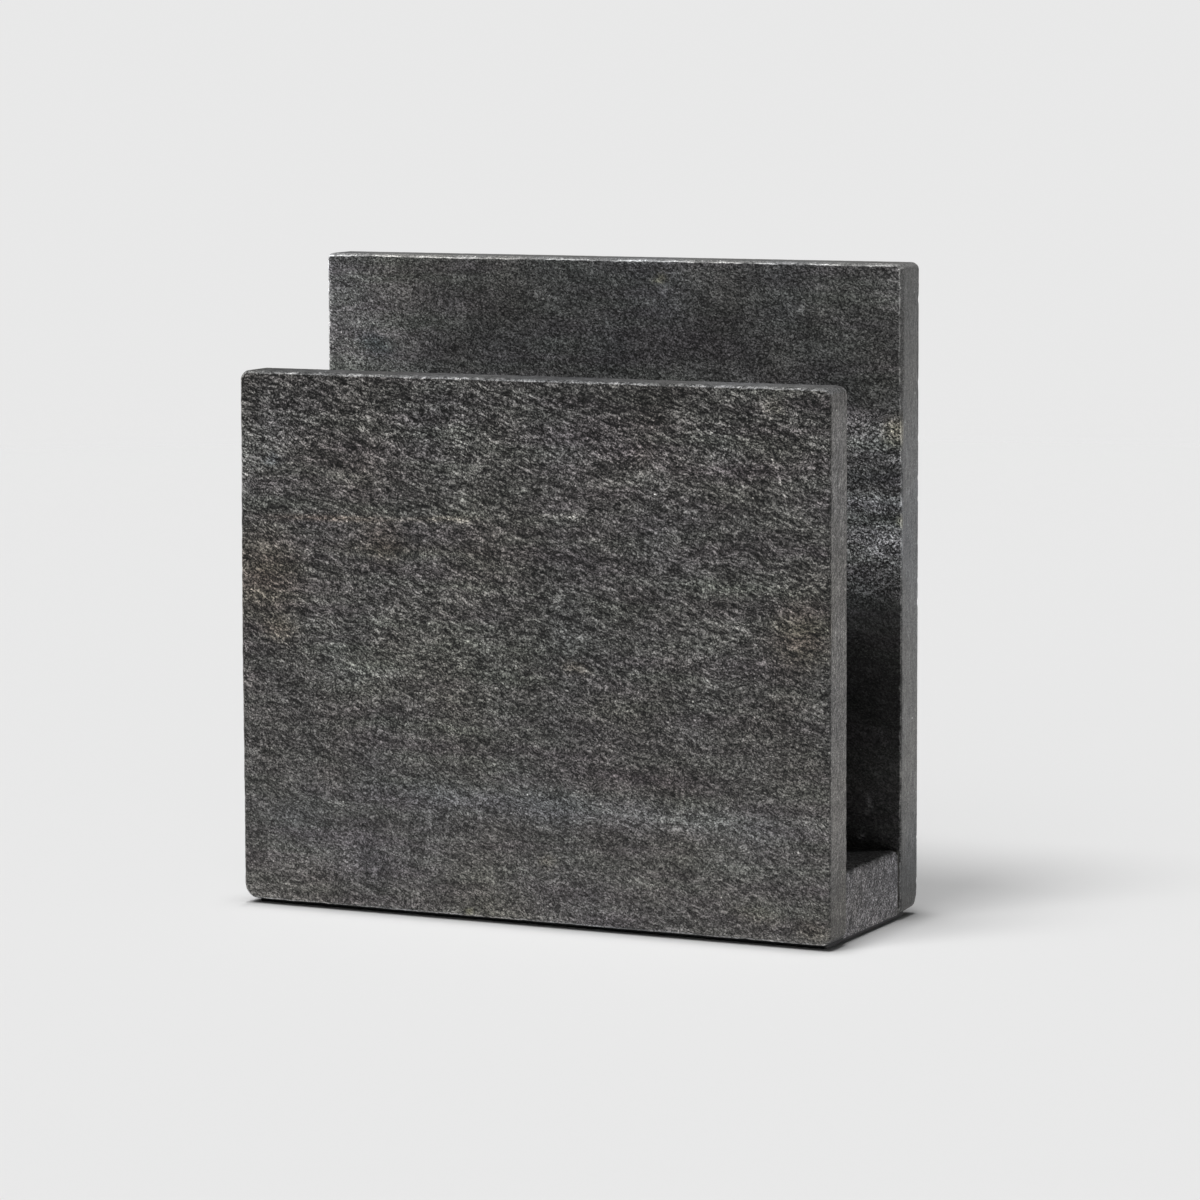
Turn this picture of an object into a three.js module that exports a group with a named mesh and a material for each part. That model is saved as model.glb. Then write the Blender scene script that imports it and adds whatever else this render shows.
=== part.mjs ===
// Open napkin holder cut from dark stone.
//
// A low front panel and a tall back panel stand on the two long sides of a base slab, each held to it by a
// thin line of adhesive. The stone stands on a thin non-slip pad, stuck on with a film of its own, and the
// napkins stand on edge in the slot between the panels.
//
// Millimetres, +Z up. The front faces -Y and the width runs along X. The origin is the middle of the pad's
// underside.
import * as THREE from 'three';

// Driving dimensions of the stone.
const DEPTH = 53;
const FRONT_PANEL = {
  width: 151, height: 125.5, thickness: 9.5, arris: 0.6, upperCornerRadius: 2.2, lowerCornerRadius: 3,
};
const BACK_PANEL = {
  width: 150, height: 151, thickness: 10, arris: 0.8, upperCornerRadius: 1.6, lowerCornerRadius: 2,
};
const BASE_LENGTH = 149;
const BASE_HEIGHT = 15.2;
const BASE_CORNER_RADIUS = 0.5;

// The adhesive lines fill the joints to a little short of every edge that shows.
const BOND_THICKNESS = 0.3;
const BOND_SETBACK = 0.6;

// The pad stops short of the stone all round.
const PAD_LENGTH = 146.4;
const PAD_DEPTH = 46.6;
const PAD_THICKNESS = 1.05;
const PAD_CORNER_RADIUS = 0.8;
const FILM_THICKNESS = 0.15;
const FILM_SETBACK = 0.5;

const CURVE_SEGMENTS = 8;
const ARRIS_SEGMENTS = 3;

// Planes that the pieces share.
const STONE_BOTTOM = PAD_THICKNESS + FILM_THICKNESS;
const FRONT_INNER_FACE = -DEPTH / 2 + FRONT_PANEL.thickness;
const BACK_INNER_FACE = DEPTH / 2 - BACK_PANEL.thickness;

const STONE = { color: 0x4b4a4a, roughness: 0.72, metalness: 0 };
const BASE_STONE = { color: 0x545252, roughness: 0.8, metalness: 0 };
const ADHESIVE = { color: 0x2b2a29, roughness: 0.45, metalness: 0 };
const PAD_ADHESIVE = { color: 0x3a3934, roughness: 0.5, metalness: 0 };
const PAD_FOAM = { color: 0x1c1c1c, roughness: 0.9, metalness: 0 };

// A rectangle standing on y = 0 and centred on x = 0, with its own radius for the two upper and the two
// lower corners.
function roundedOutline(width, height, upperRadius, lowerRadius) {
  const half = width / 2;
  const upperX = half - upperRadius;
  const upperY = height - upperRadius;
  const lowerX = half - lowerRadius;
  const shape = new THREE.Shape();
  shape.moveTo(-lowerX, 0);
  shape.lineTo(lowerX, 0);
  shape.absarc(lowerX, lowerRadius, lowerRadius, -Math.PI / 2, 0, false);
  shape.lineTo(half, upperY);
  shape.absarc(upperX, upperY, upperRadius, 0, Math.PI / 2, false);
  shape.lineTo(-upperX, height);
  shape.absarc(-upperX, upperY, upperRadius, Math.PI / 2, Math.PI, false);
  shape.lineTo(-half, lowerRadius);
  shape.absarc(-lowerX, lowerRadius, lowerRadius, Math.PI, Math.PI * 1.5, false);
  return shape;
}

function namedMesh(name, geometry, finish) {
  const mesh = new THREE.Mesh(geometry, new THREE.MeshStandardMaterial(finish));
  mesh.name = name;
  return mesh;
}

// Stands an extrusion up: its outline's y becomes world Z, and its depth runs from backFace towards the front.
function standUp(mesh, backFace, bottom) {
  mesh.rotation.x = Math.PI / 2;
  mesh.position.set(0, backFace, bottom);
  return mesh;
}

// An upright slab whose two faces keep their full size, less the rounded arris that runs round each of them.
function stonePanel(name, panel, backFace) {
  const outline = roundedOutline(panel.width, panel.height, panel.upperCornerRadius, panel.lowerCornerRadius);
  const geometry = new THREE.ExtrudeGeometry(outline, {
    depth: panel.thickness - 2 * panel.arris,
    curveSegments: CURVE_SEGMENTS,
    bevelEnabled: true,
    bevelThickness: panel.arris,
    bevelSize: panel.arris,
    bevelOffset: -panel.arris,
    bevelSegments: ARRIS_SEGMENTS,
  });
  geometry.translate(0, 0, panel.arris);
  return standUp(namedMesh(name, geometry, STONE), backFace, STONE_BOTTOM);
}

function baseSlab() {
  const front = FRONT_INNER_FACE + BOND_THICKNESS;
  const back = BACK_INNER_FACE - BOND_THICKNESS;
  const outline = roundedOutline(BASE_LENGTH, BASE_HEIGHT, BASE_CORNER_RADIUS, BASE_CORNER_RADIUS);
  const geometry = new THREE.ExtrudeGeometry(outline, {
    depth: back - front,
    curveSegments: CURVE_SEGMENTS,
    bevelEnabled: false,
  });
  return standUp(namedMesh('base_slab', geometry, BASE_STONE), back, STONE_BOTTOM);
}

// A joint's adhesive, as a flat sheet between a panel and the base slab.
function bondLine(name, backFace) {
  const length = BASE_LENGTH - 2 * BOND_SETBACK;
  const height = BASE_HEIGHT - 2 * BOND_SETBACK;
  const outline = roundedOutline(length, height, BASE_CORNER_RADIUS, BASE_CORNER_RADIUS);
  const geometry = new THREE.ExtrudeGeometry(outline, {
    depth: BOND_THICKNESS,
    curveSegments: CURVE_SEGMENTS,
    bevelEnabled: false,
  });
  return standUp(namedMesh(name, geometry, ADHESIVE), backFace, STONE_BOTTOM + BOND_SETBACK);
}

// A flat sheet lying under the stone, centred on the origin.
function lyingSheet(name, finish, setback, thickness, bottom) {
  const length = PAD_LENGTH - 2 * setback;
  const depth = PAD_DEPTH - 2 * setback;
  const radius = PAD_CORNER_RADIUS - setback;
  const outline = roundedOutline(length, depth, radius, radius);
  const geometry = new THREE.ExtrudeGeometry(outline, {
    depth: thickness,
    curveSegments: CURVE_SEGMENTS,
    bevelEnabled: false,
  });
  const mesh = namedMesh(name, geometry, finish);
  mesh.position.set(0, -depth / 2, bottom);
  return mesh;
}

const stonework = new THREE.Group();
stonework.add(
  stonePanel('front_panel', FRONT_PANEL, FRONT_INNER_FACE),
  stonePanel('back_panel', BACK_PANEL, DEPTH / 2),
  baseSlab(),
  bondLine('front_bond', FRONT_INNER_FACE + BOND_THICKNESS),
  bondLine('back_bond', BACK_INNER_FACE),
);

const underlay = new THREE.Group();
underlay.add(
  lyingSheet('nonslip_pad', PAD_FOAM, 0, PAD_THICKNESS, 0),
  lyingSheet('pad_adhesive', PAD_ADHESIVE, FILM_SETBACK, FILM_THICKNESS, PAD_THICKNESS),
);

const napkinHolder = new THREE.Group();
napkinHolder.add(stonework, underlay);

export default napkinHolder;
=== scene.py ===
"""An open napkin holder of dark foliated stone, on a pale studio floor.

Metres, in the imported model's frame: +Z up, the front panel faces -Y, and the width runs along X.
"""
import math
import random
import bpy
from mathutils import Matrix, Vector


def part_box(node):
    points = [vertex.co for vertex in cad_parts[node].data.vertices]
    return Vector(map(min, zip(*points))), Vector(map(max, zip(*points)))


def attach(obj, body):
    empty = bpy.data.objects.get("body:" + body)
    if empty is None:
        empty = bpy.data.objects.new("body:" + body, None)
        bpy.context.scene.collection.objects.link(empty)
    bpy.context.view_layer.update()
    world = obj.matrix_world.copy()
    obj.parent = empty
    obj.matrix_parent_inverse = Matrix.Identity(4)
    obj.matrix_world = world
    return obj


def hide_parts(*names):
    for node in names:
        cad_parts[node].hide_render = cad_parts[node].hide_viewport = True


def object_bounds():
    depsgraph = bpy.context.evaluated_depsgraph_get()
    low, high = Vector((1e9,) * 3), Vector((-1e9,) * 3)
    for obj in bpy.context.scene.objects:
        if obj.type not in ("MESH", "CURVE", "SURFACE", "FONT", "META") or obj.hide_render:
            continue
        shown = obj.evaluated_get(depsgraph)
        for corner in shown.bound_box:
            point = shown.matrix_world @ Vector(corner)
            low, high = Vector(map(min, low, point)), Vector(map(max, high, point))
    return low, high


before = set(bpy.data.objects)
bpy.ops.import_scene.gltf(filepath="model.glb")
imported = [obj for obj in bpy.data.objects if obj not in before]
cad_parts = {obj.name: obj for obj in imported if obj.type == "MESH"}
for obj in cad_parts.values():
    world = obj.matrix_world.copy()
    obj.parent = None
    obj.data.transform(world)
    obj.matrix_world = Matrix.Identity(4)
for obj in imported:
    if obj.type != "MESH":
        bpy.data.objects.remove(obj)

from types import SimpleNamespace

import bpy
import numpy as np
from mathutils import Matrix, Vector, noise
from mathutils.geometry import delaunay_2d_cdt

CAD_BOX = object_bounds()
MM = 0.001
ROOT = "root"


# ---------------------------------------------------------------- shader graphs

class Graph:
    """Adds nodes to one node tree. Every method but place and feed returns an output socket."""

    def __init__(self, tree):
        self.tree = tree
        tree.nodes.clear()

    def place(self, kind, inputs=(), **settings):
        node = self.tree.nodes.new(kind)
        for key, value in settings.items():
            setattr(node, key, value)
        for key, value in dict(inputs).items():
            self.feed(node.inputs[key], value)
        return node

    def feed(self, socket, value):
        if isinstance(value, bpy.types.NodeSocket):
            self.tree.links.new(value, socket)
        else:
            socket.default_value = value

    def coordinate(self, which):
        return self.place("ShaderNodeTexCoord").outputs[which]

    def math(self, operation, a, b=0.0, c=0.0):
        return self.place("ShaderNodeMath", {0: a, 1: b, 2: c}, operation=operation).outputs[0]

    def times(self, a, b):
        return self.math("MULTIPLY", a, b)

    def total(self, *terms):
        result = terms[0]
        for term in terms[1:]:
            result = self.math("ADD", result, term)
        return result

    def blend(self, share, a, b):
        """The number a where share is 0 and b where it is 1."""
        return self.math("MULTIPLY_ADD", share, self.math("SUBTRACT", b, a), a)

    def step(self, value, low, high, start=0.0, end=1.0):
        """start up to low and end from high, smoothly between. Needs low < high."""
        inputs = {"Value": value, "From Min": low, "From Max": high, "To Min": start, "To Max": end}
        return self.place("ShaderNodeMapRange", inputs, interpolation_type="SMOOTHSTEP").outputs[0]

    def vector(self, operation, a, b=(0, 0, 0), c=(0, 0, 0)):
        node = self.place("ShaderNodeVectorMath", operation=operation)
        self.feed(node.inputs[0], a)
        if operation == "SCALE":
            self.feed(node.inputs["Scale"], b)
        elif operation not in ("LENGTH", "ABSOLUTE"):
            self.feed(node.inputs[1], b)
        if operation == "MULTIPLY_ADD":
            self.feed(node.inputs[2], c)
        return node.outputs["Value" if operation in ("DOT_PRODUCT", "LENGTH") else "Vector"]

    def split(self, vector):
        return self.place("ShaderNodeSeparateXYZ", {0: vector}).outputs

    def join(self, x, y, z):
        return self.place("ShaderNodeCombineXYZ", {0: x, 1: y, 2: z}).outputs[0]

    def cells(self, vector, scale, output):
        """Voronoi cells about 1 / scale across.

        output is their Distance from the middle, or a Color at random for each.
        """
        inputs = {"Vector": vector, "Scale": scale}
        return self.place("ShaderNodeTexVoronoi", inputs).outputs[output]

    def noise(self, vector, scale, detail=0.0, roughness=0.5):
        """Smooth noise about 0, mostly between -0.3 and 0.3, with features about 1 / scale across."""
        inputs = {"Vector": vector, "Scale": scale, "Detail": detail, "Roughness": roughness}
        return self.math("SUBTRACT", self.place("ShaderNodeTexNoise", inputs).outputs[0], 0.5)


def new_material(name):
    material = bpy.data.materials.new(name)
    material.use_nodes = True
    return material, Graph(material.node_tree)


# ---------------------------------------------------------------- camera, light and floor

CAMERA_SENSOR = 36.0
CAMERA_LENS = 146.05
CAMERA_CLIP = (0.05, 50.0)
CAMERA_AZIMUTH = 25.77
CAMERA_ELEVATION = 6.82
CAMERA_DISTANCE = 1.1389
CAMERA_ROLL = -0.234
AIM_RIGHT = 5.23 * MM
AIM_UP = -3.04 * MM

BACKDROP = 0.811
AMBIENT = 0.04
FLOOR_ALBEDO = 0.80
FLOOR_HALF = 3.0
FLOOR_DROP = 0.02 * MM
FLOOR_FADE = (0.7, 1.6)
# A painted contact shadow on the floor around the pad: how far it reaches, how dark it is at the pad, and how
# much narrower it is on the left.
CONTACT_REACH = 10 * MM
CONTACT_SHADE = 0.68
LIT_SIDE = 4.0

# Name, azimuth from the front towards the right, elevation, strength, width in degrees, and what it lights.
LAMPS = (
    ("key_on_stone", -22, 54, 2.70, 18, "stone"),
    ("side_on_stone", 125, 9, 1.6, 16, "stone"),
    ("key_on_floor", -20, 64, 1.35, 22, "floor"),
    ("soft_key_on_floor", -10, 58, 0.42, 50, "floor"),
    ("overhead_on_floor", 0, 90, 1.38, 9, "floor"),
    ("low_on_floor", 15, 22, 0.30, 50, "floor"),
)


def direction(azimuth, elevation):
    a = math.radians(azimuth)
    e = math.radians(elevation)
    return Vector((math.sin(a) * math.cos(e), -math.cos(a) * math.cos(e), math.sin(e)))


def add_camera():
    low, high = CAD_BOX
    back = direction(CAMERA_AZIMUTH, CAMERA_ELEVATION)
    right = Vector((0, 0, 1)).cross(back).normalized()
    up = back.cross(right)
    aim = (low + high) / 2 + right * AIM_RIGHT + up * AIM_UP
    data = bpy.data.cameras.new("camera")
    data.sensor_width = CAMERA_SENSOR
    data.lens = CAMERA_LENS
    data.clip_start, data.clip_end = CAMERA_CLIP
    camera = bpy.data.objects.new("camera", data)
    turn = Matrix((right, up, back)).transposed() @ Matrix.Rotation(math.radians(CAMERA_ROLL), 3, "Z")
    camera.matrix_world = Matrix.Translation(aim + back * CAMERA_DISTANCE) @ turn.to_4x4()
    bpy.context.collection.objects.link(camera)
    bpy.context.scene.camera = camera


def add_world():
    """A pale backdrop, which itself lights the object only faintly."""
    world = bpy.data.worlds.new("studio")
    world.use_nodes = True
    bpy.context.scene.world = world
    g = Graph(world.node_tree)
    seen = g.place("ShaderNodeLightPath").outputs["Is Camera Ray"]
    strength = g.blend(seen, AMBIENT, BACKDROP)
    shader = g.place("ShaderNodeBackground", {"Color": (1, 1, 1, 1), "Strength": strength})
    g.place("ShaderNodeOutputWorld", {"Surface": shader.outputs[0]})


def add_floor():
    """A pale floor that fades into the backdrop before its edge, and is a little darker close to the pad.

    The darker rim is narrower by LIT_SIDE on the left, where the key lamp stands.
    """
    corners = [(x * FLOOR_HALF, y * FLOOR_HALF, -FLOOR_DROP) for x, y in ((-1, -1), (1, -1), (1, 1), (-1, 1))]
    mesh = bpy.data.meshes.new("floor")
    mesh.from_pydata(corners, [], [(0, 1, 2, 3)])
    floor = bpy.data.objects.new("floor", mesh)
    bpy.context.collection.objects.link(floor)
    material, g = new_material("floor")
    faded = g.step(g.vector("LENGTH", g.coordinate("Object")), *FLOOR_FADE)
    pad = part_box("nonslip_pad")[1]
    right_and_behind = g.vector("SUBTRACT", g.coordinate("Object"), (pad.x, pad.y, 1))
    left_and_front = g.vector("MULTIPLY_ADD", g.coordinate("Object"), (-LIT_SIDE, -1, -1),
                              (-LIT_SIDE * pad.x, -pad.y, -1))
    beside = g.vector("MAXIMUM", right_and_behind, left_and_front)
    away = g.vector("LENGTH", g.vector("MAXIMUM", beside, (0, 0, 0)))
    # The floor is painted darker close to the pad: a painted contact shadow.
    shade = g.step(away, 0.0, CONTACT_REACH, CONTACT_SHADE, 1.0)
    colour = g.vector("SCALE", (FLOOR_ALBEDO, FLOOR_ALBEDO, FLOOR_ALBEDO), shade)
    paper = g.place("ShaderNodeBsdfDiffuse", {"Color": colour}).outputs[0]
    nothing = g.place("ShaderNodeBsdfTransparent").outputs[0]
    surface = g.place("ShaderNodeMixShader", {0: faded, 1: paper, 2: nothing}).outputs[0]
    g.place("ShaderNodeOutputMaterial", {"Surface": surface})
    mesh.materials.append(material)
    return floor


def add_lamps(floor):
    """Soft lamps. The floor has lamps of its own, so that the shadow on it stays light."""
    receivers = {}
    for lit, state in (("floor", "INCLUDE"), ("stone", "EXCLUDE")):
        group = bpy.data.collections.new("lights_" + lit)
        group.objects.link(floor)
        group.collection_objects[0].light_linking.link_state = state
        receivers[lit] = group
    for name, azimuth, elevation, strength, width, lit in LAMPS:
        data = bpy.data.lights.new(name, "SUN")
        data.energy = strength
        data.angle = math.radians(width)
        lamp = bpy.data.objects.new(name, data)
        way = direction(azimuth, elevation)
        lamp.rotation_mode = "QUATERNION"
        lamp.rotation_quaternion = way.to_track_quat("Z", "Y")
        lamp.location = way
        lamp.light_linking.receiver_collection = receivers[lit]
        bpy.context.collection.objects.link(lamp)


add_camera()
add_world()
add_lamps(add_floor())
bpy.context.scene.view_settings.view_transform = "Standard"
bpy.context.scene.view_settings.look = "None"


# ---------------------------------------------------------------- shapes

# For each way a sheet can lie, the world axes of its outline's across and up, and of its thickness.
LIES = {"facing_y": (0, 2, 1), "facing_x": (1, 2, 0), "facing_z": (0, 1, 2)}


def rounded_outline(low, high, radii, step):
    """A rounded rectangle, counter-clockwise: its points and their outward normals, as (N, 2) arrays.

    The radii are of the lower right, upper right, upper left and lower left corner.
    """
    lower_right, upper_right, upper_left, lower_left = radii
    corners = (
        (high[0] - lower_right, low[1] + lower_right, lower_right, -90),
        (high[0] - upper_right, high[1] - upper_right, upper_right, 0),
        (low[0] + upper_left, high[1] - upper_left, upper_left, 90),
        (low[0] + lower_left, low[1] + lower_left, lower_left, 180),
    )
    points, normals = [], []
    for i, (x, y, radius, start) in enumerate(corners):
        turns = max(5, round(radius * math.pi / 2 / step))
        for angle in np.radians(np.linspace(start, start + 90, turns + 1)):
            way = np.array((math.cos(angle), math.sin(angle)))
            points.append(np.array((x, y)) + radius * way)
            normals.append(way)
        next_x, next_y, next_radius, _ = corners[(i + 1) % 4]
        begin = points[-1]
        end = np.array((next_x, next_y)) + next_radius * normals[-1]
        count = max(2, round(float(np.linalg.norm(end - begin)) / step))
        for k in range(1, count):
            points.append(begin + (end - begin) * k / count)
            normals.append(normals[-1])
    return np.array(points), np.array(normals)


def fill_outline(ring, spacing):
    """Inner points in staggered rows, as (M, 2), and the triangles across a closed ring and them."""
    low, high = ring.min(0), ring.max(0)
    inner = []
    rows = max(2, round((high[1] - low[1]) / spacing))
    columns = max(2, round((high[0] - low[0]) / spacing))
    for row in range(1, rows):
        y = low[1] + (high[1] - low[1]) * row / rows
        for column in range(1, columns + 1):
            x = low[0] + (high[0] - low[0]) * (column - 0.5 * (row % 2)) / columns
            if min(x - low[0], high[0] - x) > spacing * 0.4:
                inner.append((x, y))
    points = [Vector(p) for p in ring] + [Vector(p) for p in inner]
    found = delaunay_2d_cdt(points, [], [list(range(len(ring)))], 1, 1e-9)
    faces = [tuple(found[3][i][0] for i in face) for face in found[2]]
    return np.array(inner).reshape(-1, 2), faces


def ringed_solid(name, lie, points, normals, rings, spacing):
    """A closed solid from rings around an outline. Each ring is an inset and a height per outline point.

    The first and the last ring are flat, and are filled with triangles about spacing across.
    """
    count = len(points)
    layers, faces = [], []
    for inset, height in rings:
        flat = points - normals * np.reshape(inset, (-1, 1))
        layers.append(np.column_stack((flat, np.broadcast_to(height, count))))
    for r in range(len(rings) - 1):
        for i in range(count):
            j = (i + 1) % count
            faces.append((r * count + i, r * count + j, (r + 1) * count + j, (r + 1) * count + i))
    total = count * len(rings)
    for ring_index, downwards in ((0, True), (len(rings) - 1, False)):
        ring = layers[ring_index]
        inner, triangles = fill_outline(ring[:, :2], spacing)
        layers.append(np.column_stack((inner, np.full(len(inner), ring[0, 2]))))
        for triangle in triangles:
            ids = [ring_index * count + i if i < count else total + i - count for i in triangle]
            faces.append(tuple(ids[::-1]) if downwards else tuple(ids))
        total += len(inner)
    local = np.concatenate(layers)
    across, up, through = LIES[lie]
    world = np.empty_like(local)
    world[:, across], world[:, up], world[:, through] = local.T
    if lie == "facing_y":
        faces = [face[::-1] for face in faces]
    mesh = bpy.data.meshes.new(name)
    mesh.from_pydata(world, [], faces)
    mesh.shade_smooth()
    piece = bpy.data.objects.new(name, mesh)
    bpy.context.collection.objects.link(piece)
    return piece


# An arris is partway from a flat cut, 0, to a quarter circle, 1.
ARRIS_TURNS = 5
ARRIS_ROUNDNESS = 0.5

# An arris takes at most this share of the smallest corner radius. A ledge of flat rings lies just inside it.
ARRIS_ROOM = 0.85
LEDGE = 0.5 * MM
LEDGE_ROOM = 0.8
LEDGE_INNER = 0.35

# Feature size and swing of the unevenness in an arris's width.
ARRIS_WAVES = ((11 * MM, 0.22), (1.7 * MM, 0.16))

# The shares of the height between which an arris widens towards the top of its right side.
HEAD_START = 0.72
HEAD_FULL = 0.86

NOISE_SHIFT = (17.3, -9.1, 5.7)
CHIP_POWER = 1.5


def arris_profile():
    """How far in and how far down a unit arris goes, from the face round to the side."""
    for k in range(ARRIS_TURNS + 1):
        share = k / ARRIS_TURNS
        angle = share * math.pi / 2
        round_in, round_down = 1 - math.sin(angle), 1 - math.cos(angle)
        cut_in, cut_down = 1 - share, share
        inwards = cut_in + (round_in - cut_in) * ARRIS_ROUNDNESS
        down = cut_down + (round_down - cut_down) * ARRIS_ROUNDNESS
        yield inwards, down


def slab(name, lie, low, high, radii, low_arris, high_arris, along_step, across_step, spacing):
    """A slab with rounded corners. Each arris is a width per point, from the outline's points and normals."""
    across, up, through = LIES[lie]
    points, normals = rounded_outline((low[across], low[up]), (high[across], high[up]), radii, along_step)
    bottom, top = low[through], high[through]
    room = min(radii)
    front = np.minimum(low_arris(points, normals), room * ARRIS_ROOM)
    back = np.minimum(high_arris(points, normals), room * ARRIS_ROOM)
    ledge = np.minimum(LEDGE, (room - front) * LEDGE_ROOM)
    rings = [(front + ledge, bottom), (front + ledge * LEDGE_INNER, bottom)]
    for inwards, down in arris_profile():
        rings.append((front * inwards, bottom + front * down))
    steps = max(2, round((top - bottom) / across_step))
    for k in range(1, steps):
        rings.append((0.0, bottom + front + (top - back - bottom - front) * k / steps))
    for inwards, down in reversed(list(arris_profile())):
        rings.append((back * inwards, top - back * down))
    ledge = np.minimum(LEDGE, (room - back) * LEDGE_ROOM)
    rings += [(back + ledge * LEDGE_INNER, top), (back + ledge, top)]
    return ringed_solid(name, lie, points, normals, rings, spacing)


def noise_at(points, size, seed):
    """Smooth noise about 0 at each point, with features about size across."""
    offset = Vector([seed * part for part in NOISE_SHIFT])
    return np.array([noise.noise(Vector(p).to_3d() / size + offset) for p in points])


def arris(left, right, top, bottom, corner=0.0, head=0.0, seed=0):
    """An arris with its own width on each side of the outline, in millimetres.

    It is wider by corner at the upper right corner, and by up to head along the top of the right side.
    """
    def width(points, normals):
        x, y = normals.T
        rise = (points[:, 1] - points[:, 1].min()) / np.ptp(points[:, 1])
        sideways = np.where(x > 0, right, left)
        upright = np.where(y > 0, top, bottom)
        extra = corner * (2 * np.clip(x, 0, 1) * np.clip(y, 0, 1)) ** 2
        extra += head * np.clip(x, 0, 1) ** 2 * np.clip((rise - HEAD_START) / (HEAD_FULL - HEAD_START), 0, 1)
        unevenness = 1
        for k, (size, swing) in enumerate(ARRIS_WAVES):
            unevenness = unevenness + swing * noise_at(points, size, seed + k)
        return (sideways * x ** 2 + upright * y ** 2 + extra) * MM * unevenness
    return width


def wear(piece, depth):
    """Sinks each vertex along its normal by depth(places, normals)."""
    mesh = piece.data
    places = np.empty(len(mesh.vertices) * 3)
    normals = np.empty(len(mesh.vertices) * 3)
    mesh.vertices.foreach_get("co", places)
    mesh.vertex_normals.foreach_get("vector", normals)
    places = places.reshape(-1, 3)
    normals = normals.reshape(-1, 3)
    places -= normals * depth(places, normals)[:, None]
    mesh.vertices.foreach_set("co", places.ravel())
    mesh.update()


def chip_depth(places, chips):
    """How deep the chips go at each place. A chip is a centre, a radius and a depth."""
    depth = np.zeros(len(places))
    for centre, radius, deepest in chips:
        near = 1 - np.sum((places - centre) ** 2, 1) / radius ** 2
        depth = np.maximum(depth, deepest * np.clip(near, 0, 1) ** CHIP_POWER)
    return depth


def finish_piece(piece, node, material):
    piece.data.materials.append(material)
    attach(piece, ROOT)
    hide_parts(node)


# ---------------------------------------------------------------- stone

# The stone's layers are at right angles to FOLIATION, and its grains are longest along LINEATION.
FOLIATION = Vector((0.141, -0.890, 0.434)).normalized()
LINEATION = Vector((0.951, 0.0, -0.309)).normalized()

# All lengths in the stone's material are in millimetres. Changes of tone and tint are changes of the albedo's
# logarithm. The grains' sizes are along the lineation, across it in the layer, and through the layer.
STONE_SHIFT = (31.0, 57.0, -43.0)
FOLD_SWING = (3.0, 0.0, 2.5)
CRYSTAL_SIZE = (0.42, 0.32, 0.26)
CRYSTAL_SWING = 0.34
POWDER_SWING = 0.4
FLECK_SIZE = (3.0, 1.3, 0.42)
CLUSTER_SIZE = (9.0, 4.0, 1.6)
SMOKE_SCALE = (0.10, 0.10, 0.17)
LAYER_SCALE = (0.03, 0.03, 0.22)
STREAK_SCALE = (0.25, 3.0, 0.25)
STREAK_SWING = 1.5
CLOUD_SWING = 0.5
# Sparkles are painted glints: bright specks of mica in the albedo, about this far apart.
SPARKLE_SPACING = 4.0
SPARKLE_RADII = (0.15, 0.30)
SPARKLE_GAIN = 1.1
FLATTENING = -0.08
DRIFT_HUE = (0.11, 0.02, -0.17)
LAYER_HUE = (-0.10, 0.12, -0.10)
SPOT_DRIFT = 3.5
MARK_WAVE = 0.5
SPOT_DEPTH = 1.5

# Depths below a face between which its honed finish ends, and the bright line along its rim starts and ends.
HONED_DEPTH = (0.03, 0.10)
RIM_START = (0.02, 0.06)
RIM_END = (0.18, 0.32)

# The clusters' noise between which that line is broken and whole, and the shares of an arris's width between
# which the arris ends.
RIM_GAPS = (-0.12, 0.06)
ARRIS_FADE = (0.75, 1.1)

# Parts of the normal: upwards, between an upright and a level surface, and along x, between left and right.
LEVEL_SLOPE = (0.2, 0.6)
SIDE_SLOPE = (-0.3, 0.3)

# Heights between which the look changes.
ARRIS_HEIGHTS = (108, 132)
# The edges get painted shade near the floor below the first two heights, and are darker near the top above
# the next two.
EDGE_FOOT = (6, 32)
EDGE_HEAD = (118, 142)
# Below the next two pairs of heights, the arris and the honed face are painted lighter by the gain after
# them: painted bounce light from the floor.
ARRIS_FOOT_LIGHT = (4, 10)
HONED_FOOT_LIGHT = (1.8, 3.6)
FOOT_BOUNCE_LIGHT = 0.3
FLECK_HEIGHTS = (40, 80)

BUMP_SWINGS = (1.0, 0.6)
BUMP_DEPTH = 0.03
EDGE_ROUGHNESS = 0.75
HONED_ROUGHNESS = 0.62
ROUGHNESS_SWING = -0.3
STONE_SPECULAR = 0.25

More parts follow.
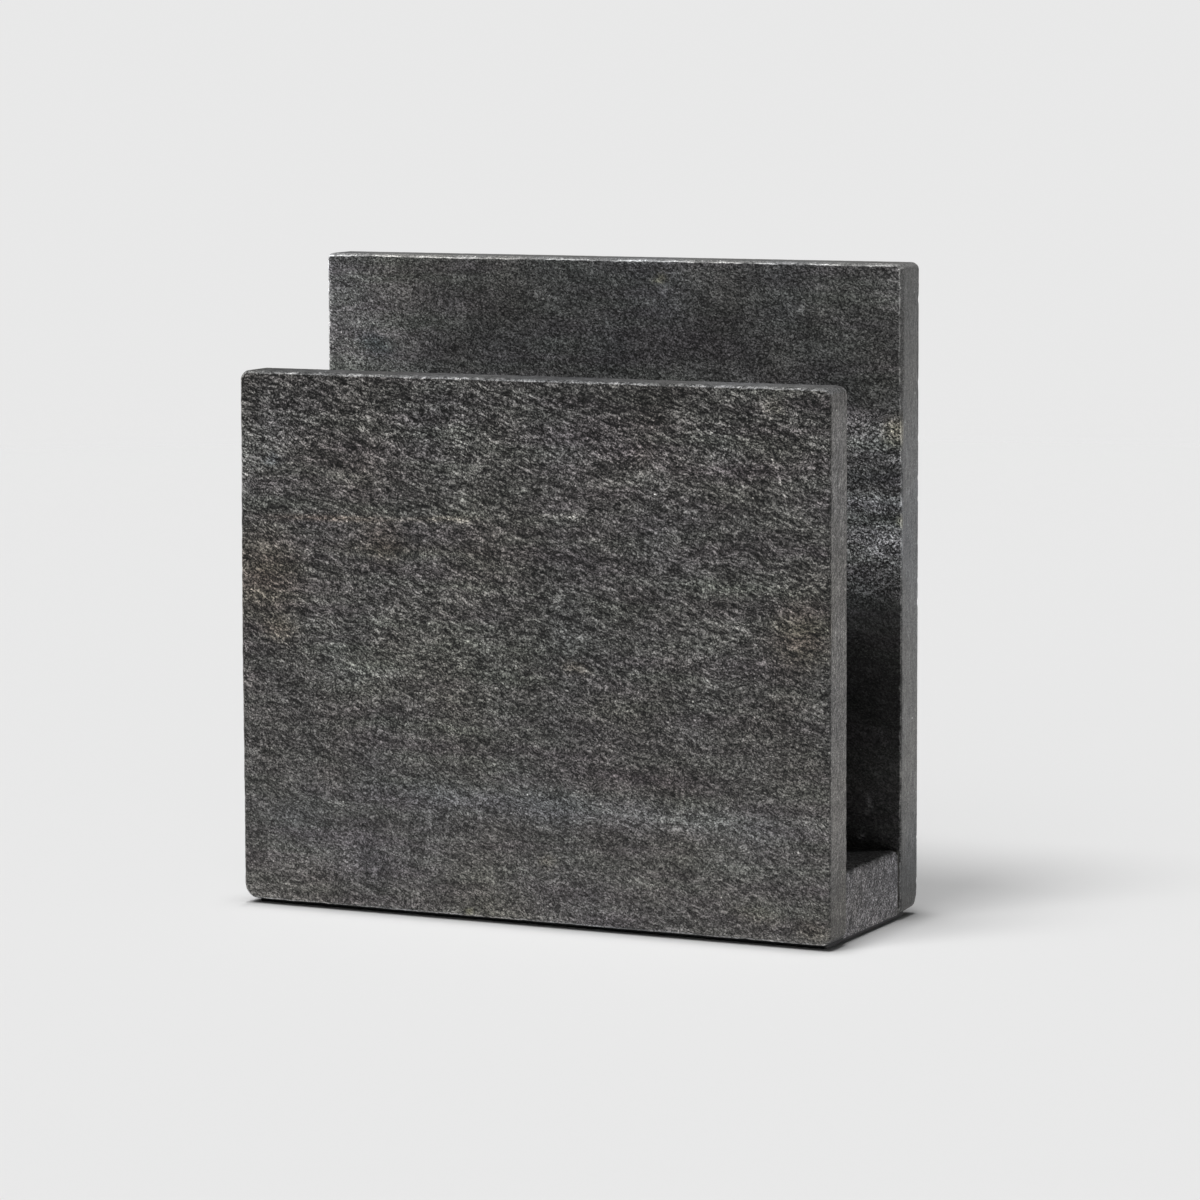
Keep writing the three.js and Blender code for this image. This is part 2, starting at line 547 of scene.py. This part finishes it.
# The next three tables describe one particular stone. A look does without them with spots=() and marks=().
# Soft spots on the front panel's outer face: centre x and z, half width and height in millimetres, degrees of
# tilt clockwise, and how much lighter, warmer and greener the stone is there.
FRONT_SPOTS = (
    (-63, 124, 5, 3, 35, 0.4, 0, 0),
    (-66.5, 106, 4, 2.5, 0, 0.4, -0.06, 0.02),
    (-46.5, 102, 5, 2, 27, 0.4, 0, 0),
    (-14.5, 120, 6, 4, 27, 0.3, 0, 0),
    (-16.5, 113, 5, 2.5, 20, 0.3, 0, 0),
    (-29, 104, 7, 2.5, 27, 0.3, 0, 0),
    (-15.5, 99.5, 4, 3, 30, 0.35, 0, 0),
    (-16, 94.2, 9, 1.7, -2, 0.3, 0.02, 0.01),
    (14, 95.7, 19, 1.5, -2, 0.3, 0, 0),
    (-70.5, 79.5, 4, 3, 0, 0.35, 0.02, 0),
    (-65, 66, 8, 5, 0, 0.4, 0.07, 0.01),
    (-3, 78, 5, 3, 0, 0.35, 0, 0),
    (62.5, 122, 5, 3.5, 20, 0.4, 0.03, 0.04),
    (17, 117.5, 5, 3, 10, 0.3, 0, 0),
    (54, 114, 7, 4, 20, 0.25, 0.01, 0.01),
    (29.5, 110, 5, 5, 30, 0.35, 0.02, 0.01),
    (39.5, 109, 6, 3, 10, 0.3, 0, 0),
    (66.5, 97, 5, 4, 0, 0.35, 0, 0),
    (12, 61, 6, 2.5, 10, 0.35, 0.07, 0),
    (53.5, 72, 3, 3, 0, 0.45, 0, 0),
    (-42, 56.6, 15, 3.4, -3, 0.4, -0.02, 0.02),
    (-9, 51, 6, 4, 0, 0.3, 0, 0),
    (66.5, 56, 8, 3.5, 0, 0.3, 0.01, 0),
    (-33, 15, 5, 5, 30, 0.3, 0, 0),
    (31.5, 11.5, 4, 2.5, 0, 0.3, 0, 0),
    (5, 15.5, 4, 2.5, 0, 0.3, 0.05, 0.02),
    (58, 7, 11, 3, 8, 0.35, 0.03, 0.03),
    (71, 4.5, 7, 3.5, 5, 0.3, 0.04, 0.02),
    (-16, 2.6, 2, 1.4, 0, 0.5, 0.1, 0.1),
    (22, 28, 88, 6.3, 0.9, 0.36, -0.04, 0.01),
    (70, 27.5, 9, 5, 0, 0.2, 0, -0.01),
    (-22, 29.5, 32, 4.5, 2, 0.15, -0.01, 0.01),
    (-8, 21.8, 74, 2.4, 1, -0.3, 0, -0.01),
    (-60, 22, 22, 12, 0, -0.16, -0.04, 0.01),
    (-38, 12, 36, 9, 0, 0, -0.02, -0.03),
    (60, 14, 24, 9, 0, -0.13, 0, 0),
    (-69, 79, 16, 18, 0, 0.1, 0.08, -0.01),
    (-37, 88, 9, 9, 0, -0.05, 0.06, -0.02),
    (69, 71, 12, 11, 0, -0.05, 0.08, 0),
    (20, 51, 16, 6, 0, 0, 0.02, 0.03),
    (-10, 63, 70, 24, 0, 0, -0.01, 0.03),
    (30, 37, 44, 5, 2, -0.16, 0, -0.03),
    (54, 88, 30, 32, 0, -0.06, 0, 0),
    (28, 74, 26, 9, 3, -0.16, 0, 0.01),
    (57, 89, 8, 3.5, 15, -0.25, 0, 0),
    (24, 91, 9, 3.5, 15, -0.25, 0, 0),
    (46, 104, 8, 3.5, 20, -0.25, 0, 0),
    (27, 123, 34, 8, 4, -0.45, 0, 0),
    (74, 122, 8, 7, 0, -0.4, 0, 0),
    (36, 111, 40, 8, 4, -0.06, -0.01, -0.03),
    (-35, 86.3, 34, 2.6, -1, -0.36, 0.03, -0.02),
    (-24, 118, 6, 7, 10, -0.3, 0, 0),
    (-73.5, 108, 4, 16, 0, 0.25, 0, 0),
    (-56, 112, 9, 6, 20, 0.2, 0, 0),
    (-44, 60.5, 28, 2, 0, -0.2, 0, 0),
    (-75.5, 90, 4, 60, 0, 0.25, 0, 0),
    (62, 112, 9, 3, 25, -0.2, 0, 0.01),
    (-45, 112, 9, 4, 30, -0.15, 0, 0.01),
)

# The same on the back panel's inner face.
BACK_SPOTS = (
    (-68, 135, 34, 30, 0, 0.8, 0, 0),
    (-68, 127, 6, 5, 0, 0.4, 0, 0),
    (-75, 140, 2, 40, 0, 1, 0, 0),
    (-62, 130.5, 8, 4, 20, -0.4, -0.06, 0.03),
    (13.5, 147.8, 3, 2, 0, 0.5, 0.12, 0.08),
    (25.5, 132, 2.5, 3, 30, 0.5, 0, 0),
    (30, 136, 17, 10, 0, -0.3, 0, -0.01),
    (-10, 139, 24, 16, 0, 0.1, 0, 0),
    (24, 149, 14, 3, 0, 0.3, 0, 0),
    (-62, 141, 7, 6, 0, -0.3, 0, -0.03),
    (48, 141, 5, 4, 0, 0.3, 0, 0),
    (72, 145, 7, 7, 0, 0.4, 0, 0),
    (66, 113.5, 22, 6.8, 0, 0.9, 0, 0),
    (74, 114, 6, 6, 0, 0.25, 0.1, 0.04),
    (66, 103, 22, 2.6, 0, -0.5, -0.02, 0),
    (70, 97.2, 20, 3.4, 0, 0.7, -0.02, 0),
    (71, 94, 8, 1.6, 10, -0.6, 0, 0),
    (70, 88.5, 24, 8.7, 0, 0.95, 0, 0),
    (74, 107, 2.5, 2.5, 0, 0.5, 0, 0),
    (75, 93, 2.5, 2.5, 0, 0.4, 0.08, 0.05),
    (67, 27, 1.4, 4, 0, 1.3, 0, 0),
    (65, 19.5, 2, 1.2, -20, 1.3, 0, 0),
    (71, 42, 1.5, 5, 0, 0.6, 0, 0),
    # This broad darker spot low on the inner face is painted shade in the slot between the panels.
    (40, 52, 90, 26, 0, -0.9, 0, 0),
)

# A thin vein and a hairline scratch on the front panel's outer face, given in the same way. The grain doesn't
# break these up.
FRONT_MARKS = (
    (-52, 92.7, 24, 1.3, -1, 0.5, 0.09, -0.03),
    (-24, 93.6, 15, 1.2, -3, 0.75, 0.05, 0),
    (9, 95.5, 16, 1.2, -2, 0.85, 0.01, 0),
    (61.8, 109.3, 0.5, 2.9, -22, 1.2, 0, 0),
    (63.3, 105.5, 0.5, 2.9, -18, 1.3, 0, 0),
    (64.4, 101.5, 0.5, 3.1, -10, 1.2, 0, 0),
)


def storeys(g, height, levels, values):
    """Three values, one below the other, each blending into the next between two of the four levels."""
    low, middle, top = values
    lower_part = g.step(height, *levels[:2], low, middle)
    return g.total(lower_part, g.step(height, *levels[2:], 0.0, top - middle))


def stone_material(name, look):
    """Foliated stone, honed on its two faces across look.through, ground on its edges and rough between."""
    material, g = new_material(name)
    place = g.vector("SCALE", g.coordinate("Object"), 1 / MM)
    height = g.split(place)[2]
    moved = g.vector("ADD", place, [look.seed * part for part in STONE_SHIFT])
    folds = g.join(g.noise(moved, 0.11, 1.0), 0.0, g.noise(moved, 0.16, 1.0))
    folded = g.vector("MULTIPLY_ADD", folds, FOLD_SWING, moved)
    along = g.vector("DOT_PRODUCT", folded, LINEATION)
    wide = g.vector("DOT_PRODUCT", folded, FOLIATION.cross(LINEATION))
    across = g.vector("DOT_PRODUCT", folded, FOLIATION)

    def bedded(size):
        length, width, thickness = size
        return g.join(g.times(along, 1 / length), g.times(wide, 1 / width), g.times(across, 1 / thickness))

    crystals = g.math("SUBTRACT", g.split(g.cells(bedded(CRYSTAL_SIZE), 1.0, "Color"))[0], 0.5)
    powder = g.noise(moved, 3.2)
    grain = g.total(g.times(crystals, CRYSTAL_SWING), g.times(powder, POWDER_SWING))
    flecks = g.noise(bedded(FLECK_SIZE), 1.0, 2.0, 0.6)
    clusters = g.noise(bedded(CLUSTER_SIZE), 1.0, 1.0)
    # Painted glints: a small bright speck in the albedo in every cell.
    from_glint = g.times(g.cells(moved, 1 / SPARKLE_SPACING, "Distance"), SPARKLE_SPACING)
    painted_glints = g.step(from_glint, *SPARKLE_RADII, SPARKLE_GAIN, 0.0)
    clouds = g.noise(moved, 0.045, 1.0)
    smoke = g.noise(g.vector("MULTIPLY", moved, SMOKE_SCALE), 1.0, 2.0, 0.6)
    layers = g.noise(g.vector("MULTIPLY", folded, LAYER_SCALE), 1.0, 1.0)
    streaks = g.noise(g.vector("MULTIPLY", moved, STREAK_SCALE), 1.0, 2.0)

    # Where the point is: on a face, on the arris beside it or on the edge between, and how level.
    low, high = look.faces
    middle = (low + high) / 2
    through = g.split(place)[look.through]
    off_middle = g.math("ABSOLUTE", g.math("SUBTRACT", through, middle))
    depth = g.math("SUBTRACT", (high - low) / 2, off_middle)
    face = g.step(depth, *HONED_DEPTH, 1.0, 0.0)
    reach = g.step(height, *ARRIS_HEIGHTS, *look.arris)
    ground = g.step(g.math("DIVIDE", depth, reach), *ARRIS_FADE)
    rim = g.times(g.step(depth, *RIM_START), g.step(depth, *RIM_END, look.rim, 0.0))
    normal = g.split(g.coordinate("Normal"))
    level = g.step(g.math("ABSOLUTE", normal[2]), *LEVEL_SLOPE)

    # The tone of each, as a logarithm.
    # The edges are painted darker at the foot, a painted shade near the floor, and are darker at the head.
    foot_shade, head_shade = look.edge_shades
    # Level edges are painted lighter by the gain for level edges: painted light from above.
    edge = g.total(g.step(height, *EDGE_FOOT, foot_shade, 0.0), g.step(height, *EDGE_HEAD, 0.0, head_shade),
                   g.times(level, look.top_gain), g.times(streaks, STREAK_SWING), math.log(look.edge_tone))
    # The arrises have the ground stone's own lighter tone, with painted light and shade for the way they
    # face: lighter upwards and towards the left, darker towards the right. They also get painted bounce light
    # from the floor at the foot.
    left_light_tone, right_light_tone, level_light_tone = (math.log(tone) for tone in look.arris_tones)
    side_light_tone = g.step(normal[0], *SIDE_SLOPE, left_light_tone, right_light_tone)
    arris_tone = g.total(g.blend(level, side_light_tone, level_light_tone), g.step(height, *ARRIS_FOOT_LIGHT, FOOT_BOUNCE_LIGHT, 0.0))
    # The honed face too gets painted bounce light from the floor just above its foot.
    honed = g.total(storeys(g, height, look.levels, [math.log(tone) for tone in look.tones]),
                    g.step(height, *HONED_FOOT_LIGHT, FOOT_BOUNCE_LIGHT, 0.0))
    tone = g.blend(face, g.blend(ground, arris_tone, edge), honed)

    # The grain's speckle. Its brightest parts are held back a little.
    banded = storeys(g, height, look.contrast_levels, look.contrasts)
    face_contrast = g.blend(g.step(through, middle - 1, middle + 1), banded, look.contrasts[2])
    contrast = g.blend(face, g.blend(ground, look.arris_contrast, look.edge_contrast), face_contrast)
    fleck = g.times(g.step(height, *FLECK_HEIGHTS, look.low_fleck, 1.0), look.fleck)
    speckle = g.total(g.times(grain, look.grain), g.times(flecks, fleck), g.times(clusters, look.cluster),
                      g.times(smoke, look.smoke))
    speckle = g.times(speckle, contrast)
    flattened = g.times(speckle, g.math("MULTIPLY_ADD", speckle, FLATTENING, 1.0))
    tone = g.total(tone, flattened, g.times(clouds, CLOUD_SWING), g.times(layers, look.layers),
                   g.times(rim, g.step(clusters, *RIM_GAPS)), painted_glints)

    tint = g.vector("SCALE", DRIFT_HUE, g.noise(moved, 0.035, 2.0))
    tint = g.vector("ADD", tint, g.vector("SCALE", LAYER_HUE, g.times(layers, face)))
    tint = g.vector("ADD", tint, g.vector("SCALE", look.tint, g.blend(level, 1.0, face)))
    colour = g.vector("ADD", tint, g.join(tone, tone, tone))
    drifted = g.vector("ADD", place, g.vector("SCALE", g.join(clusters, 0.0, flecks), SPOT_DRIFT))
    waved = g.vector("ADD", place, g.vector("SCALE", g.join(clusters, 0.0, clouds), MARK_WAVE))
    patches = [(drifted, spot) for spot in look.spots] + [(waved, mark) for mark in look.marks]
    for at, (x, z, half_width, half_height, tilt, lighter, warmer, greener) in patches:
        spot = g.place("ShaderNodeMapping", {
            "Vector": at,
            "Location": (x, low, z),
            "Rotation": (0, math.radians(tilt), 0),
            "Scale": (half_width, SPOT_DEPTH, half_height),
        }, vector_type="TEXTURE").outputs[0]
        share = g.step(g.vector("LENGTH", spot), 0.0, 1.0, 1.0, 0.0)
        change = (lighter + warmer, lighter + greener, lighter - 1.4 * warmer)
        colour = g.vector("MULTIPLY_ADD", share, change, colour)
    albedo = g.join(*(g.math("EXPONENT", part) for part in g.split(colour)))

    grain_bump, fleck_bump = BUMP_SWINGS
    relief = g.total(g.times(grain, grain_bump), g.times(flecks, fleck_bump))
    bump_inputs = {"Strength": 1.0, "Distance": BUMP_DEPTH * MM, "Height": relief}
    bump = g.place("ShaderNodeBump", bump_inputs).outputs[0]
    honed_roughness = g.math("MULTIPLY_ADD", flecks, ROUGHNESS_SWING, HONED_ROUGHNESS)
    shader = g.place("ShaderNodeBsdfPrincipled", {
        "Base Color": albedo,
        "Roughness": g.blend(face, EDGE_ROUGHNESS, honed_roughness),
        "Specular IOR Level": STONE_SPECULAR,
        "Normal": bump,
    })
    g.place("ShaderNodeOutputMaterial", {"Surface": shader.outputs[0]})
    return material


# Corner radii: lower right, upper right, upper left and lower left.
FRONT_RADII = (2.2 * MM, 2.2 * MM, 2.4 * MM, 3.5 * MM)
BACK_RADII = (2.0 * MM, 1.6 * MM, 1.4 * MM, 2.0 * MM)
BASE_RADII = (0.5 * MM,) * 4
LEAN = 0.5 * MM

# How far apart a slab's vertices are: along its outline, through its thickness and across its faces.
PANEL_MESH = (0.5 * MM, 1.0 * MM, 3.0 * MM)
BASE_MESH = (0.4 * MM, 0.8 * MM, 0.8 * MM)

EDGE_CHIPS = 40
EDGE_CHIP_RADII = (0.6, 1.3)
EDGE_CHIP_DEPTHS = (0.05, 0.15)
BASE_CHIPS = 34
BASE_CHIP_RADII = (0.5, 1.4)
BASE_CHIP_DEPTHS = (0.15, 0.55)
BASE_CHIP_SEED = 5

# Depth, feature size and seed of each kind of unevenness. A panel's own seed is its look's.
EDGE_WAVE = (0.012 * MM, 16 * MM)
ARRIS_GRIT = (0.12 * MM, 0.9 * MM)
ARRIS_GRIT_SHIFT = 0.4
SAWN_COARSE = (0.05 * MM, 3.0 * MM, 3)
SAWN_FINE = (0.04 * MM, 1.1 * MM, 4)
BASE_WAVE = (0.02 * MM, 6 * MM, 5)

CORNER_WEAR_REACH = 6 * MM
CORNER_WEAR = Vector((-0.3, -0.1, 0.05)) * MM


def edge_chips(low, high, level, rng):
    """Small chips at random along the four edges of an upright face."""
    chips = []
    for _ in range(EDGE_CHIPS):
        share = rng.random()
        side = rng.randrange(4)
        x = low[0] + (high[0] - low[0]) * share if side < 2 else (low[0], high[0])[side - 2]
        z = low[2] + (high[2] - low[2]) * share if side > 1 else (low[2], high[2])[side]
        centre = np.array((x, level, z))
        chips.append((centre, rng.uniform(*EDGE_CHIP_RADII) * MM, rng.uniform(*EDGE_CHIP_DEPTHS) * MM))
    return chips


def uneven(places, depth, size, seed):
    """A depth at each place that varies smoothly about the given one."""
    return depth * (1 + noise_at(places, size, seed))


def panel(node, look, radii, low_arris, high_arris, lean=0.0, worn=()):
    """An upright slab with eased, slightly chipped edges. Its upper left side leans in by lean.

    A worn place is its centre, its reach and how far its middle is shifted.
    """
    low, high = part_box(node)
    piece = slab(node + "_stone", "facing_y", low, high, radii, low_arris, high_arris, *PANEL_MESH)
    rng = random.Random(look.seed)
    chips = edge_chips(low, high, low[1], rng) + edge_chips(low, high, high[1], rng)
    grit_depth, grit_size = ARRIS_GRIT

    def depth(places, normals):
        facing = normals[:, 1] ** 2
        rounding = 4 * facing * (1 - facing)
        wavy = uneven(places, *EDGE_WAVE, look.seed) * (1 - facing) ** 2
        grit = grit_depth * (ARRIS_GRIT_SHIFT + noise_at(places, grit_size, look.seed)) * rounding
        return wavy + grit.clip(0) + chip_depth(places, chips)
    wear(piece, depth)
    for corner, reach, shift in worn:
        for vertex in piece.data.vertices:
            near = max(0.0, 1 - (vertex.co - corner).length / reach)
            vertex.co += shift * near * near * (3 - 2 * near)

    middle = (low[2] + high[2]) / 2
    for vertex in piece.data.vertices:
        leftness = max(0.0, -vertex.co.x / high[0])
        rise = max(0.0, (vertex.co.z - middle) / (high[2] - middle))
        vertex.co.x += lean * leftness * rise
    finish_piece(piece, node, stone_material(node, look))


def sawn_base(look):
    """The base block, rough from the saw, with its upper edges chipped at both ends."""
    low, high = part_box("base_slab")
    ends = arris(0.10, 0.10, 0.12, 0.15, seed=31)
    piece = slab("base_slab_stone", "facing_x", low, high, BASE_RADII, ends, ends, *BASE_MESH)
    rng = random.Random(BASE_CHIP_SEED)
    chips = []
    for x in (low[0], high[0]):
        for _ in range(BASE_CHIPS):
            centre = np.array((x, rng.uniform(low[1], high[1]), high[2]))
            chips.append((centre, rng.uniform(*BASE_CHIP_RADII) * MM, rng.uniform(*BASE_CHIP_DEPTHS) * MM))

    def depth(places, normals):
        sawn = np.abs(normals[:, 0])
        rough = (uneven(places, *SAWN_COARSE) + uneven(places, *SAWN_FINE)) * sawn
        return rough + uneven(places, *BASE_WAVE) + chip_depth(places, chips)
    wear(piece, depth)
    finish_piece(piece, "base_slab", stone_material("base_slab", look))


def faces_of(node, axis):
    """Where a node's two sides across an axis lie, in millimetres."""
    low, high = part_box(node)
    return low[axis] / MM, high[axis] / MM


# What sets each stone apart. Tones are albedos; shades, gains and the tint are changes of their logarithm.
# faces are its two honed or sawn faces, across the axis through. tones and contrasts are low down, halfway
# and high up, and blend between the first two levels and between the last two. edge_shades darken the edges
# at the foot, a painted shade near the floor, and at the head. The gain for level edges is painted light from
# above. The arris tones face left, right and up: the ground arris's own lighter tone, with painted light and
# shade for the way it faces. arris is how wide the bright arris is, low down and high up. The numbers from
# grain to rim say how strong each part of the mottling is, and low_fleck is the flecks' share of that near
# the foot.
FRONT_LOOK = SimpleNamespace(
    seed=1, through=1, faces=faces_of("front_panel", 1),
    tones=(0.074, 0.055, 0.0412), levels=(22, 48, 106, 126),
    edge_tone=0.132, edge_shades=(-0.5, -0.12), top_gain=0.0,
    arris_tones=(0.11, 0.06, 0.19), arris=(0.5, 0.5),
    contrasts=(0.74, 0.98, 1.18), contrast_levels=(18, 54, 98, 116), edge_contrast=0.43, arris_contrast=0.6,
    tint=(0.038, 0.0, -0.042),
    grain=8.0, fleck=6.6, low_fleck=0.65, cluster=1.6, smoke=0.25, layers=0.5, rim=0.3,
    spots=FRONT_SPOTS, marks=FRONT_MARKS,
)
BACK_LOOK = SimpleNamespace(
    seed=2, through=1, faces=faces_of("back_panel", 1),
    tones=(0.058, 0.056, 0.055), levels=(20, 40, 120, 140),
    edge_tone=0.15, edge_shades=(-0.7, -0.3), top_gain=0.5,
    arris_tones=(0.16, 0.092, 0.24), arris=(0.4, 1.1),
    contrasts=(0.6, 1.38, 1.0), contrast_levels=(71, 79, 114, 121), edge_contrast=0.3, arris_contrast=0.45,
    tint=(0.0, 0.0, 0.0),
    grain=6.7, fleck=1.8, low_fleck=1.0, cluster=1.4, smoke=1.0, layers=0.2, rim=1.0,
    spots=BACK_SPOTS, marks=(),
)
BASE_LOOK = SimpleNamespace(
    seed=3, through=0, faces=faces_of("base_slab", 0),
    tones=(0.048, 0.052, 0.088), levels=(2, 6, 9, 13.5),
    edge_tone=0.045, edge_shades=(0.0, 0.0), top_gain=0.0,
    arris_tones=(0.07, 0.07, 0.18), arris=(0.15, 0.15),
    contrasts=(0.75, 0.75, 0.8), contrast_levels=(3, 8, 12, 16), edge_contrast=0.8, arris_contrast=0.8,
    tint=(0.04, 0.0, 0.03),
    grain=8.5, fleck=4.0, low_fleck=1.0, cluster=2.6, smoke=0.0, layers=0.0, rim=0.0,
    spots=(), marks=(),
)

panel("front_panel", FRONT_LOOK, FRONT_RADII, arris(0.6, 0.35, 0.7, 0.5, seed=11),
      arris(0.6, 0.15, 0.6, 0.6, seed=13), lean=LEAN)
back_low, back_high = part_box("back_panel")
lower_right_corner = Vector((back_high.x, back_high.y, back_low.z))
panel("back_panel", BACK_LOOK, BACK_RADII, arris(0.4, 0.4, 0.8, 0.8, corner=0.4, head=0.8, seed=15),
      arris(0.8, 0.15, 0.8, 0.8, seed=17), worn=((lower_right_corner, CORNER_WEAR_REACH, CORNER_WEAR),))
sawn_base(BASE_LOOK)


# ---------------------------------------------------------------- adhesive and pad

# A bead is flat to within BEAD_FLAT of its outline, and rounds over through BEAD_SHOULDER or BEAD_TURN.
BEAD_SETBACK = 0.05 * MM
BEAD_FLAT = 0.45 * MM
BEAD_SHOULDER = 0.06 * MM
BEAD_TURN = 0.3 * MM
BEAD_TURN_RISE = 0.4
BEAD_RADII = (0.5 * MM,) * 4
BEAD_STEP = 0.7 * MM
BEAD_FILL = 4 * MM
SWELL_UNEVENNESS = 0.3
SWELL_SIZE = 2 * MM
SWELL_SEED = 7

PAD_RADII = (0.8 * MM,) * 4
PAD_MESH = (0.8 * MM, 0.3 * MM, 3.0 * MM)
PAD_WAVE = (0.08 * MM, 9 * MM, 9)


def speckled_material(name, tone, speckle, size, roughness, relief):
    """A plain matt material with fine mottling. size and relief are its grain's, in millimetres."""
    material, g = new_material(name)
    place = g.vector("SCALE", g.coordinate("Object"), 1 / MM)
    fine = g.noise(place, 1 / size, 3.0, 0.7)
    broad = g.noise(place, 0.08, 1.0)
    swing = g.math("EXPONENT", g.total(g.times(fine, speckle), g.times(broad, speckle * 0.5)))
    colour = g.vector("SCALE", tone, swing)
    bump = g.place("ShaderNodeBump", {"Strength": 1.0, "Distance": relief * MM, "Height": fine}).outputs[0]
    shader = g.place("ShaderNodeBsdfPrincipled", {
        "Base Color": colour,
        "Roughness": g.math("MULTIPLY_ADD", fine, 0.3, roughness),
        "Specular IOR Level": 0.3,
        "Normal": bump,
    })
    g.place("ShaderNodeOutputMaterial", {"Surface": shader.outputs[0]})
    return material


def bond(node, material, panel_above, spread):
    """A joint's adhesive, which fills the joint to just short of its edges.

    It spreads by up to spread millimetres into the panel's arris, at the right end only.
    """
    low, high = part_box(node)
    base_low, base_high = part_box("base_slab")
    points, normals = rounded_outline((base_low.x + BEAD_SETBACK, base_low.z + BEAD_SETBACK),
                                      (base_high.x - BEAD_SETBACK, base_high.z - BEAD_SETBACK),
                                      BEAD_RADII, BEAD_STEP)
    towards = 1 if panel_above else -1
    near, far = (low.y, high.y) if panel_above else (high.y, low.y)
    unevenness = 1 + SWELL_UNEVENNESS * noise_at(points, SWELL_SIZE, SWELL_SEED)
    swell = spread * MM * np.clip(normals[:, 0], 0, 1) ** 2 * unevenness
    rings = [
        (BEAD_FLAT, near),
        (BEAD_SHOULDER, near),
        (0.0, (near + far) / 2),
        (0.0, far + towards * swell),
        (BEAD_TURN, far + towards * swell * BEAD_TURN_RISE),
        (BEAD_FLAT, far),
    ]
    if not panel_above:
        rings.reverse()
    piece = ringed_solid(node + "_adhesive", "facing_y", points, normals, rings, BEAD_FILL)
    finish_piece(piece, node, material)


def foam_pad():
    low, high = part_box("nonslip_pad")
    edge = arris(0.15, 0.15, 0.15, 0.15, seed=21)
    piece = slab("nonslip_pad_foam", "facing_z", low, high, PAD_RADII, edge, edge, *PAD_MESH)

    def depth(places, normals):
        return uneven(places, *PAD_WAVE) * (1 - normals[:, 2] ** 2)
    wear(piece, depth)
    foam = speckled_material("nonslip_pad", (0.038, 0.038, 0.039), speckle=2.0, size=0.35, roughness=0.85,
                             relief=0.08)
    finish_piece(piece, "nonslip_pad", foam)


epoxy = speckled_material("bond_adhesive", (0.07, 0.068, 0.06), speckle=2.0, size=0.3, roughness=0.6,
                          relief=0.03)
bond("front_bond", epoxy, panel_above=False, spread=0.0)
bond("back_bond", epoxy, panel_above=True, spread=0.5)
foam_pad()
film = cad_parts["pad_adhesive"]
film.data.materials.clear()
film.data.materials.append(speckled_material("pad_adhesive", (0.05, 0.046, 0.036), speckle=1.0, size=1.5,
                                             roughness=0.35, relief=0.01))
